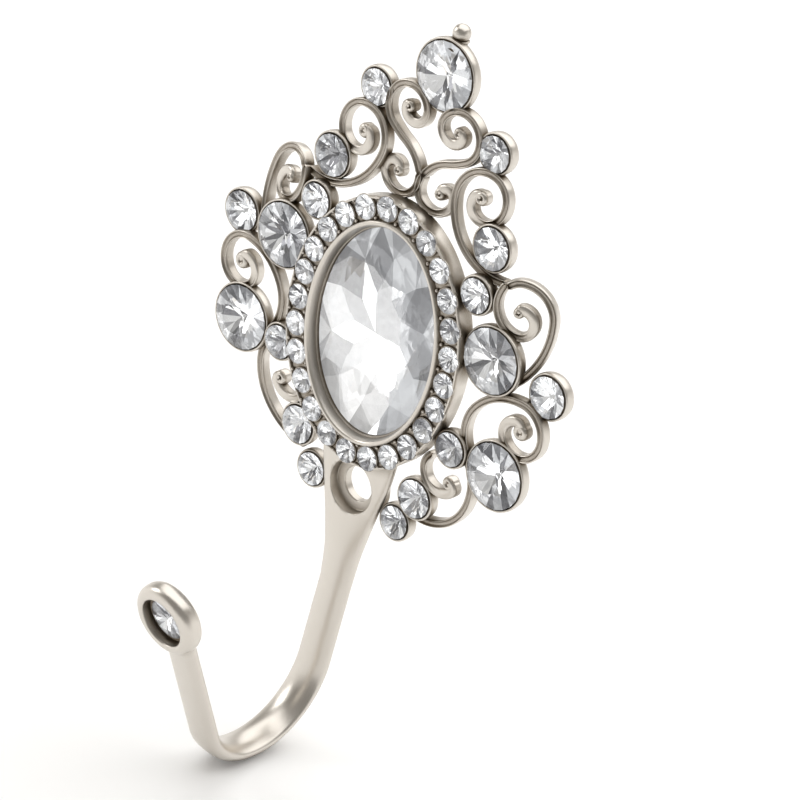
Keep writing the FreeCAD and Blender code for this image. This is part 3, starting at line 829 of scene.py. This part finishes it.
pave_places = np.array([stone_place(node) for node in pave_stones])
seats = []
grains = []
for x, z, depth, radius in pave_places:
    radius += PAVE_SPREAD
    outline = [(0.0, -1.2), (0.1, -1.2), (radius - 0.05, -0.18), (radius + FIT, -0.08),
               (radius + FIT, SEAT_TOP), (0.0, SEAT_TOP)]
    seats.append(lathe(outline, (x, -depth, z), 24))
    grains.append(burr(x, depth, z, radius + FIT + 0.02, BURR))

next_places = np.roll(pave_places, -1, axis=0)
for here, there in zip(pave_places, next_places):
    middle = (here[:2] + there[:2]) / 2
    outward = middle - (0.0, RING_RISE)
    outward = outward / np.linalg.norm(outward)
    gap = np.linalg.norm(here[:2] - there[:2]) / 2
    for side in (-1.0, 1.0):
        spot = middle + side * outward * (0.62 * here[3] + 0.25 * gap)
        grains.append(bead((spot[0], -here[2] + 0.02, spot[1]), GRAIN))

# %% [markdown]
# Neck and hook are one strap. Its section is a lens: a domed inner face, thin
# edges and a slightly domed outer face. The section is carried down the neck,
# along the straight shank, round a bow of two radii and up the arm. On the neck
# the sections are blended by a smooth curve through six stations.

# %% Neck and hook
STATIONS = np.array([
    # height, half width, back, front edge, dome of the front, belly of the back
    (7.2, 6.1, 1.3, 2.85, 0.05, 0.02),
    (2.6, 5.55, 1.2, 2.68, 0.12, 0.02),
    (-1.6, 4.55, 0.9, 2.45, 0.38, 0.04),
    (-5.8, 3.55, 0.55, 2.15, 0.66, 0.12),
    (-9.8, 2.80, 0.50, 1.85, 0.80, 0.25),
    (-14.0, 2.45, 0.65, 1.75, 0.80, 0.35),
])
STRAP_HALF = 2.45          # half width of the hook's strap
STRAP_EDGE = 1.1           # its thickness at the edge
STRAP_DOME = 0.8           # and how far its two faces rise over that
STRAP_BELLY = 0.35
SHANK_LEAN = 4.5           # degrees by which the shank leaves the wall
SHANK_LENGTH = 11.0
BOW = ((11.5, 95.0), (9.3, 54.0))      # radius and turn of the bow's two arcs
ARM_LENGTH = 20.9
ROUND = 0.55               # where across its outer face the strap begins to roll over


def smooth_through(stations, count):
    """A smooth curve through rows of values: each span is a cubic whose end slopes
    are half the difference of the rows on either side."""
    rows = np.vstack([2 * stations[0] - stations[1], stations,
                      2 * stations[-1] - stations[-2]])
    place = np.linspace(0, len(stations) - 1, count)
    span = np.minimum(place.astype(int), len(stations) - 2)
    t = (place - span)[:, None]
    before, here, there, after = [rows[span + k] for k in range(4)]
    return 0.5 * (2 * here + (there - before) * t
                  + (2 * before - 5 * here + 4 * there - after) * t ** 2
                  + (3 * here - before - 3 * there + after) * t ** 3)


def strap_sections(half, edge, dome, belly):
    """Sections of the strap, one row of across and out for each set of sizes.

    The domed face is edge + dome * (1 - s squared) for s from -1 to 1 across. The
    outer face is -belly * (1 - s squared), and it rises by half the edge times the
    square of how far s is past ROUND, so that it rolls into the sides.
    """
    half, edge, dome, belly = [v[:, None] for v in np.broadcast_arrays(half, edge, dome, belly)]
    s = np.linspace(-0.93, 0.93, 19)
    inner = np.stack([half * s, edge + dome * (1 - s ** 2)], axis=-1)
    roll = np.clip((np.abs(s) - ROUND) / (1 - ROUND), 0, 1)
    outer = np.stack([-half * s, 0.5 * edge * roll ** 2 - belly * (1 - s ** 2)], axis=-1)
    right = np.concatenate([np.stack([half * 0.975, edge * 0.95], axis=-1),
                            np.stack([half * 0.995, edge * 0.85], axis=-1),
                            np.stack([half, edge * 0.7], axis=-1),
                            np.stack([half * 0.985, edge * 0.52], axis=-1)], axis=1)
    left = right[:, ::-1] * (-1, 1)
    return np.concatenate([inner, right, outer, left], axis=1)


def neck_rows():
    """The neck's sections, which stand level: across is x and out is depth."""
    height, half, back, edge_front, dome, belly = smooth_through(STATIONS, 46).T
    section = strap_sections(half, edge_front - back, dome, belly)
    depth = section[:, :, 1] + back[:, None]
    level = np.repeat(height[:, None], section.shape[1], axis=1)
    return np.stack([section[:, :, 0], -depth, level], axis=-1)


def hook_rows():
    """The strap's sections along shank, bow and arm, square to the path."""
    lean = math.radians(SHANK_LEAN)
    start = np.array([-STATIONS[-1, 2], STATIONS[-1, 0]])
    pieces = []
    point = start
    angle = lean
    steps = [(0.0, 0.0, SHANK_LENGTH), (*BOW[0], 0.0), (*BOW[1], 0.0), (0.0, 0.0, ARM_LENGTH)]
    for radius, turn, length in steps:
        if length:
            share = np.linspace(0, 1, 16)[1:]
            forward = np.array([-math.sin(angle), -math.cos(angle)])
            places = point + share[:, None] * length * forward
            angles = np.full(len(share), angle)
        else:
            swept = math.radians(turn) * np.linspace(0, 1, 40)[1:]
            inward = np.array([-math.cos(angle), math.sin(angle)])
            centre = point + radius * inward
            angles = angle + swept
            places = centre + radius * np.stack([np.cos(angles), -np.sin(angles)], axis=1)
        pieces.append((places, angles))
        point = places[-1]
        angle = angles[-1]
    places = np.vstack([part[0] for part in pieces])
    angles = np.concatenate([part[1] for part in pieces])
    section = strap_sections(np.full(len(angles), STRAP_HALF), STRAP_EDGE, STRAP_DOME,
                             STRAP_BELLY)
    inward = np.stack([-np.cos(angles), np.sin(angles)], axis=1)
    side = places[:, None, :] + section[:, :, 1][:, :, None] * inward[:, None, :]
    return np.concatenate([section[:, :, :1], side], axis=-1)


rows = np.concatenate([neck_rows(), hook_rows()])
strap_shell = skin(rows, (rows[0].mean(axis=0), rows[-1].mean(axis=0)))
print("strap rows:", len(rows), "tip of the arm:", np.round(rows[-1].mean(axis=0), 1))

# %% [markdown]
# The screw hole goes right through the neck and has a wider recess for the
# head. A boolean cuts both with one turned cutter, and the pad behind the neck
# is a turned ring that never meets the cutter.

# %% Screw hole, pad, tip cup and bead
HOLE = 2.25                # radius of the through hole
HEAD = 3.45                # radius of the recess for the screw head
LEDGE = 1.28               # depth of the ledge that the head presses on
TIP = np.array([0.0, -31.9, -9.75])    # middle of the hook's cup
TIP_RADIUS = 4.75
TIP_THICK = 2.9
TIP_CORNER = 1.2           # radius of its rounded edges
TIP_OPENING = 3.2          # radius of the cup's opening
TIP_FLOOR = -0.45          # floor of the opening, along the cup's own axis
TIP_STONE = 2.7            # radius of the stone in it
TIP_CROWN = 0.6            # height of its crown, and depth of its back
TIP_BACK = 1.2
PAD = 4.3                  # radius of the pad behind the neck
PAD_FRONT = 1.2            # how far the pad stands off the wall
PAD_EDGE = 0.12            # softening of its edges

cutter = [(0.0, -2.0), (HOLE, -2.0), (HOLE, LEDGE - 0.08), (HOLE + 0.1, LEDGE),
          (HEAD - 0.12, LEDGE), (HEAD, LEDGE + 0.1), (HEAD, 2.62), (HEAD + 0.06, 2.76),
          (HEAD + 0.22, 2.9), (HEAD + 0.3, 4.5), (0.0, 4.5)]
hole_shell = lathe(cutter, (0.0, 0.0, 0.0), 72)


def annulus(inner, outer, back, front, edge, count):
    """A flat turned ring with softened outer edges."""
    outline = np.array([(inner, back), (outer - edge, back), (outer, back + edge),
                        (outer, front - edge), (outer - edge, front), (inner, front)])
    angle = 2 * np.pi * np.arange(count) / count
    rows = np.stack([outline[:, 0][:, None] * np.cos(angle),
                     np.repeat(-outline[:, 1][:, None], count, axis=1),
                     outline[:, 0][:, None] * np.sin(angle)], axis=-1)
    return skin(rows, closed=True)


pad_shell = annulus(HOLE + 0.04, PAD, 0.0, PAD_FRONT, PAD_EDGE, 64)

half_thick = TIP_THICK / 2
corner = np.radians([0, 15, 30, 45, 60, 75, 90])
outer_back = [(TIP_RADIUS - TIP_CORNER * (1 - math.sin(a)),
               -half_thick + TIP_CORNER * (1 - math.cos(a))) for a in corner]
outer_front = [(TIP_RADIUS - TIP_CORNER * (1 - math.sin(a)),
                half_thick - TIP_CORNER * (1 - math.cos(a))) for a in corner[::-1]]
tip_outline = ([(0.0, -half_thick)] + outer_back + outer_front
               + [(TIP_OPENING + 0.12, half_thick - 0.03), (TIP_OPENING + 0.03, half_thick - 0.12),
                  (TIP_OPENING, half_thick - 0.3), (TIP_OPENING, TIP_FLOOR + 0.5),
                  (2.75, TIP_FLOOR + 0.3), (0.1, TIP_FLOOR - 0.8), (0.0, TIP_FLOOR - 0.8)])
tip_shell = lathe(tip_outline, TIP, 72, TIP_TILT)

tip_girdle = tilted(np.array([[0.0, TIP_FLOOR + 0.75, 0.0]]), TIP_TILT, TIP)[0]
set_stone("stone_tip", tip_girdle, TIP_STONE, SIDES[1], TABLE[0], TIP_CROWN, TIP_BACK,
          TIP_TILT)

BEAD = (0.0, -0.8, RING_RISE + 39.16)      # middle of the ball on top
BEAD_RADIUS = 1.13
bead_shell = bead(BEAD, BEAD_RADIUS, 20, 40)
# Radius and height of the bead's collar, a small round foot with a fine ring round it.
COLLAR = [(0.0, -2.2), (1.08, -2.2), (1.04, -1.4), (0.94, -1.16), (0.92, -1.04), (1.08, -0.99),
          (1.15, -0.89), (1.13, -0.77), (1.02, -0.69), (0.85, -0.66), (0.0, -0.5)]
collar_shell = lathe(COLLAR, BEAD, 40, tilt=-90.0)


# %% [markdown]
# Boolean modifiers do the two jobs that a grid can't: the screw hole and the
# seats of the small stones. The cutters are thrown away once they have worked.

# %% Cut and assemble the casting
def cut_away(piece, cutters, smooth=SHARP):
    """Cuts closed skins out of a piece and leaves one plain mesh."""
    tool = bpy.data.objects.new("cutter", joined_mesh("cutter", cutters, behind_wall=True))
    bpy.context.collection.objects.link(tool)
    modifier = piece.modifiers.new("cut", "BOOLEAN")
    modifier.object = tool
    modifier.solver = "EXACT"
    graph = bpy.context.evaluated_depsgraph_get()
    result = bpy.data.meshes.new_from_object(piece.evaluated_get(graph))
    piece.modifiers.clear()
    old = piece.data
    piece.data = result
    bpy.data.meshes.remove(old)
    bpy.data.objects.remove(tool)
    piece.data.shade_smooth()
    piece.data.set_sharp_from_angle(angle=math.radians(smooth))
    print(piece.name, "after its cut:", len(piece.data.polygons))


STRAP_SHARP = 75.0         # the strap's edges roll over, so fewer of them look sharp

make_piece("stone_cups", cups + [tip_shell], cast_metal, ["cast_body"])
make_piece("scrollwork", scrolls, cast_metal, ["cast_body"])
stone_ring = make_piece("stone_ring", [ring_shell], cast_metal, ["cast_body"])
cut_away(stone_ring, seats)
make_piece("grains", grains, cast_metal, ["cast_body"])
neck_and_hook = make_piece("neck_and_hook", [strap_shell], cast_metal,
                           ["cast_body"], smooth=STRAP_SHARP)
cut_away(neck_and_hook, [hole_shell], smooth=STRAP_SHARP)
make_piece("pad_and_bead", [pad_shell, bead_shell, collar_shell], cast_metal,
           ["cast_body"])

# %% [markdown]
# The room is a pale studio: a big soft light overhead, a weaker one at each
# side, a pale floor, and walls that are bright at the horizon and a warm grey
# above. On the photographer's side they are an even grey. Metal shows the room
# it stands in, so the grey parts of the room matter as much as the lights.

# %% Floor, lights and room
FLOOR = -36.1 * MM         # just under the bow
FLOOR_GLOW = 0.12          # light that the floor gives off, so that it looks white
GREY_SIDE = (0.53, -0.71, 0.47)        # where the photographer stands
LIT_POINT = (0.0, 0.0, 0.015)          # what the lights look at
HORIZON = (0.95, 0.93, 0.90, 1.0)
CEILING = (0.24, 0.225, 0.20, 1.0)
GREY = (0.30, 0.29, 0.275, 1.0)


def plane(name, corners, finish):
    """A flat sheet between four corners, in metres."""
    mesh = bpy.data.meshes.new(name)
    mesh.from_pydata(corners, [], [(0, 1, 2, 3)])
    mesh.materials.append(finish)
    sheet = bpy.data.objects.new(name, mesh)
    bpy.context.collection.objects.link(sheet)


floor_finish = Finish("pale_floor")
spot = floor_finish.node("ShaderNodeTexCoord", output="Object")
haze = floor_finish.node("ShaderNodeTexNoise", None, {"Vector": spot, "Scale": 30.0})
pale = floor_finish.blend(haze, (0.93, 0.93, 0.93, 1.0), (0.95, 0.95, 0.945, 1.0))
plane("floor", [(-3, -3, FLOOR), (3, -3, FLOOR), (3, 3, FLOOR), (-3, 3, FLOOR)],
      floor_finish.surface({"Base Color": pale, "Roughness": 0.9,
                            "Emission Color": pale, "Emission Strength": FLOOR_GLOW}))


def soft_light(name, place, size, power):
    """A square soft light that looks at the object; metres and watts."""
    light = bpy.data.lights.new(name, "AREA")
    light.size = size
    light.energy = power
    lamp = bpy.data.objects.new(name, light)
    bpy.context.collection.objects.link(lamp)
    lamp.location = place
    aim = Vector(LIT_POINT) - Vector(place)
    lamp.rotation_euler = aim.to_track_quat("-Z", "Y").to_euler()


soft_light("overhead", (-0.1, 0.35, 0.95), 1.9, 17.0)
soft_light("left_side", (-0.9, -0.4, 0.45), 0.45, 2.2)
soft_light("right_side", (0.8, 0.5, 0.25), 0.7, 0.6)

world = bpy.data.worlds.new("studio")
bpy.context.scene.world = world
world.use_nodes = True
room = Nodes(world.node_tree)
direction = room.node("ShaderNodeTexCoord", output="Generated")
rise = room.node("ShaderNodeSeparateXYZ", None, {"Vector": direction}, output="Z")
height = room.node("ShaderNodeMapRange", {"interpolation_type": "SMOOTHSTEP"},
                   {"Value": rise, "From Min": 0.02, "From Max": 0.45}, output="Result")
front = room.node("ShaderNodeVectorMath", {"operation": "DOT_PRODUCT"},
                  {0: direction, 1: GREY_SIDE}, output="Value")
grey = room.node("ShaderNodeMapRange", {"interpolation_type": "SMOOTHSTEP"},
                 {"Value": front, "From Min": 0.45, "From Max": 0.9}, output="Result")
walls = room.blend(height, HORIZON, CEILING)
backdrop = room.node("ShaderNodeBackground", None, {"Color": room.blend(grey, walls, GREY)},
                     output="Background")
end = room.tree.nodes.new("ShaderNodeOutputWorld")
room.tree.links.new(backdrop.socket, end.inputs["Surface"])
bpy.context.scene.view_settings.view_transform = "Standard"

# %% [markdown]
# The camera stands where the photographer's did. Its place was worked out from
# the round stones, which look like ellipses from there, and from the mirror
# symmetry of the rosette. It looks down by 28 degrees from the right, and it
# was held a little askew.

# %% Camera
AZIMUTH = 36.674           # towards +X from straight in front
ELEVATION = 28.017
ROLL = 12.812
DISTANCE = 0.4997
AIM = Vector((4.046, -2.159, 14.366)) * MM
FOCAL_PIXELS = 4136.6      # focal length over the width of 800 pixels
PICTURE = 800

azimuth, elevation, roll = [math.radians(v) for v in (AZIMUTH, ELEVATION, ROLL)]
forward = Vector((-math.sin(azimuth) * math.cos(elevation),
                  math.cos(azimuth) * math.cos(elevation), -math.sin(elevation)))
level = forward.cross(Vector((0, 0, 1))).normalized()
above = level.cross(forward)
right = level * math.cos(roll) + above * math.sin(roll)
upward = above * math.cos(roll) - level * math.sin(roll)

camera_data = bpy.data.cameras.new("camera")
camera_data.sensor_width = 36.0
camera_data.lens = FOCAL_PIXELS / PICTURE * camera_data.sensor_width
camera_data.clip_start = 0.01
camera = bpy.data.objects.new("camera", camera_data)
bpy.context.collection.objects.link(camera)
stand = Matrix((right, upward, -forward)).transposed().to_4x4()
stand.translation = AIM - forward * DISTANCE
camera.matrix_world = stand
bpy.context.scene.camera = camera
